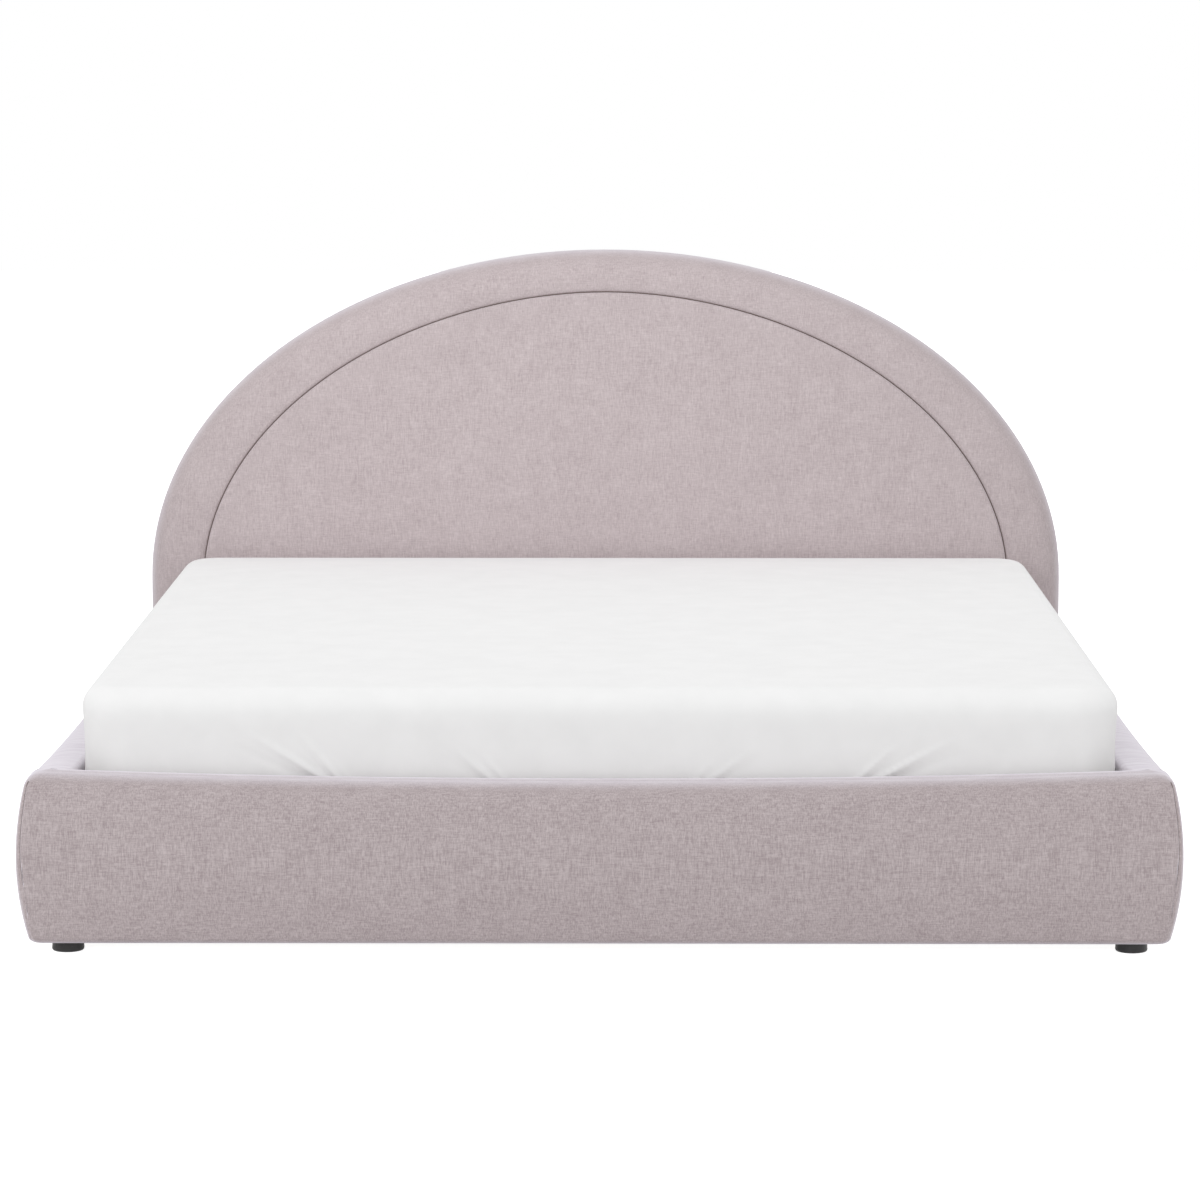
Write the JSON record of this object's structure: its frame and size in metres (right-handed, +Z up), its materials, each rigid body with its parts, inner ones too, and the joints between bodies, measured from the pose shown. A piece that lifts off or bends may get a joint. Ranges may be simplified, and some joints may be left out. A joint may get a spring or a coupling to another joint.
{
  "type": "storage bed",
  "caption": "upholstered storage bed with a padded arched headboard, a mattress, and a slatted base that lifts up at the foot end",
  "frame": {"origin": "on the floor, midway between the two sides and between the foot end and the back of the headboard", "axes": "+Z up, +Y towards the head end, +X to the right as seen from the foot end"},
  "size_m": [2, 2.22, 1.103],
  "materials": {
    "upholstery": "woven chenille, soft and slightly slubbed",
    "lining": "thin black lining cloth",
    "ticking": "plain mattress ticking",
    "bed_linen": "smooth white cotton",
    "webbing": "ribbed webbing",
    "timber": "sawn pine and plywood, unpainted",
    "slat_wood": "laminated birch, satin",
    "floor_board": "pale laminated board",
    "black_steel": "black powder coat",
    "zinc": "zinc plated",
    "polished_rod": "polished",
    "black_plastic": "moulded, satin",
    "rubber": "matt"
  },
  "bodies": {
    "bed_base": {"headboard_panel": "timber", "headboard_uprights": "timber", "headboard_bottom_rail": "timber", "headboard_crossrail": "timber", "headboard_center_pad": "upholstery", "headboard_border_pad": "upholstery", "headboard_back_cover": "lining", "left_rail_board": "timber", "right_rail_board": "timber", "footboard_board": "timber", "left_rail_cover": "upholstery", "right_rail_cover": "upholstery", "footboard_cover": "upholstery", "foot_corner_brackets": "black_steel", "head_corner_brackets": "black_steel", "corner_bolts": "zinc", "left_ledges": "black_steel", "right_ledges": "black_steel", "ledge_buffers": "rubber", "left_floor_batten": "timber", "right_floor_batten": "timber", "center_beam": "timber", "cross_bearers": "timber", "left_floor_panel": "floor_board", "right_floor_panel": "floor_board", "corner_feet": "black_plastic", "rail_feet": "black_plastic", "beam_feet": "black_plastic", "left_base_plate": "black_steel", "right_base_plate": "black_steel", "left_base_pins": "zinc", "right_base_pins": "zinc", "side_screws": "zinc"},
    "lifting_platform": {"platform_left_tube": "black_steel", "platform_right_tube": "black_steel", "platform_head_tube": "black_steel", "platform_foot_tube": "black_steel", "platform_center_tube": "black_steel", "platform_cross_tubes": "black_steel", "left_slats": "slat_wood", "right_slats": "slat_wood", "slat_holders": "black_plastic", "left_upper_bracket": "black_steel", "right_upper_bracket": "black_steel", "left_upper_pins": "zinc", "right_upper_pins": "zinc", "bracket_bolts": "zinc", "mattress_retainers": "black_steel", "pull_strap": "webbing", "mattress": "ticking", "fitted_sheet": "bed_linen"},
    "left_long_body": {"left_long_arm": "black_steel"},
    "left_short_body": {"left_short_arm": "black_steel"},
    "left_cylinder_body": {"left_strut_cylinder": "black_steel"},
    "left_rod_body": {"left_strut_rod": "polished_rod"},
    "right_long_body": {"right_long_arm": "black_steel"},
    "right_short_body": {"right_short_arm": "black_steel"},
    "right_cylinder_body": {"right_strut_cylinder": "black_steel"},
    "right_rod_body": {"right_strut_rod": "polished_rod"}
  },
  "joints": [
    {"name": "lift", "type": "hinge", "parent": "bed_base", "child": "left_long_body", "pos_m": [-0.902, 0.363, 0.088], "axis": [1, 0, 0], "range_deg": [0, 41]},
    {"name": "right_lift", "type": "hinge", "parent": "bed_base", "child": "right_long_body", "pos_m": [0.902, 0.363, 0.088], "axis": [1, 0, 0], "range_deg": [0, 41]},
    {"name": "platform_tilt", "type": "hinge", "parent": "left_long_body", "child": "lifting_platform", "pos_m": [-0.902, 0.774, 0.169], "axis": [1, 0, 0], "range_deg": [-75.85, 0]},
    {"name": "left_short_swing", "type": "hinge", "parent": "bed_base", "child": "left_short_body", "pos_m": [-0.908, 0.542, 0.193], "axis": [1, 0, 0], "range_deg": [0, 53.1]},
    {"name": "left_strut_swing", "type": "hinge", "parent": "bed_base", "child": "left_cylinder_body", "pos_m": [-0.888, 0.40865, 0.07209], "axis": [1, 0, 0], "range_deg": [0, 26.6]},
    {"name": "left_rod_swing", "type": "hinge", "parent": "left_short_body", "child": "left_rod_body", "pos_m": [-0.888, 0.67989, 0.0773], "axis": [1, 0, 0], "range_deg": [-26.6, 0]},
    {"name": "right_short_swing", "type": "hinge", "parent": "bed_base", "child": "right_short_body", "pos_m": [0.908, 0.542, 0.193], "axis": [1, 0, 0], "range_deg": [0, 53.1]},
    {"name": "right_strut_swing", "type": "hinge", "parent": "bed_base", "child": "right_cylinder_body", "pos_m": [0.888, 0.40865, 0.07209], "axis": [1, 0, 0], "range_deg": [0, 26.6]},
    {"name": "right_rod_swing", "type": "hinge", "parent": "right_short_body", "child": "right_rod_body", "pos_m": [0.888, 0.67989, 0.0773], "axis": [1, 0, 0], "range_deg": [-26.6, 0]}
  ],
  "couplings": [
    {"joint": "right_lift", "follows": "lift", "ratio": 1},
    {"joint": "platform_tilt", "follows": "lift", "ratio": -1.85},
    {"joint": "left_short_swing", "follows": "lift", "ratio": 1.2929},
    {"joint": "left_strut_swing", "follows": "lift", "ratio": 0.64645},
    {"joint": "left_rod_swing", "follows": "lift", "ratio": -0.64645},
    {"joint": "right_short_swing", "follows": "lift", "ratio": 1.2929},
    {"joint": "right_strut_swing", "follows": "lift", "ratio": 0.64645},
    {"joint": "right_rod_swing", "follows": "lift", "ratio": -0.64645}
  ]
}
